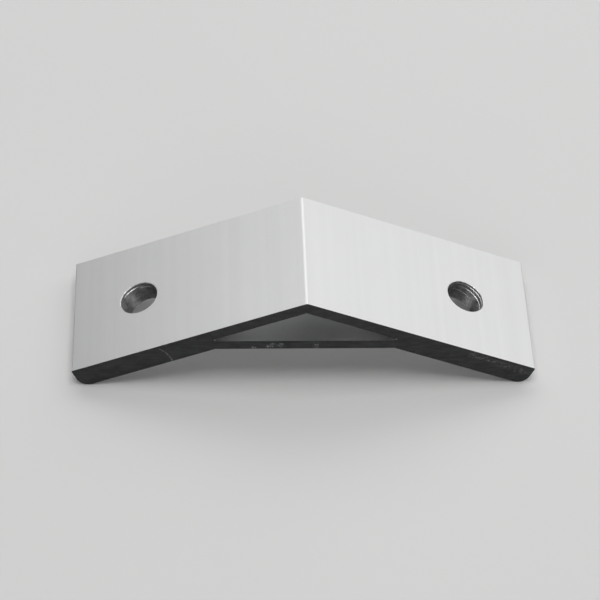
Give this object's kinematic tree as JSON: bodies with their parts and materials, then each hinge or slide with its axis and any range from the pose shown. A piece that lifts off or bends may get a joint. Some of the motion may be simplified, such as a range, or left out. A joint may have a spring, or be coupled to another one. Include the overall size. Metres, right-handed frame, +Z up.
{
  "type": "t slot corner bracket",
  "caption": "Corner bracket of extruded aluminium whose flat legs meet at 135 degrees over a hollow webbed corner, each leg drilled for a screw into slotted profile.",
  "frame": {"origin": "on the surface that the bracket stands on, half way between the toes of its legs and half way along the extrusion", "axes": "+Z up through the ridge, +X from the left toe to the right one, +Y along the extrusion, away from the viewer"},
  "size_m": [0.0932, 0.03, 0.0232],
  "materials": {
    "aluminium": "satin, as extruded, with fine die lines; sawn ends"
  },
  "bodies": {
    "root": {"bracket": "aluminium"}
  },
  "joints": []
}
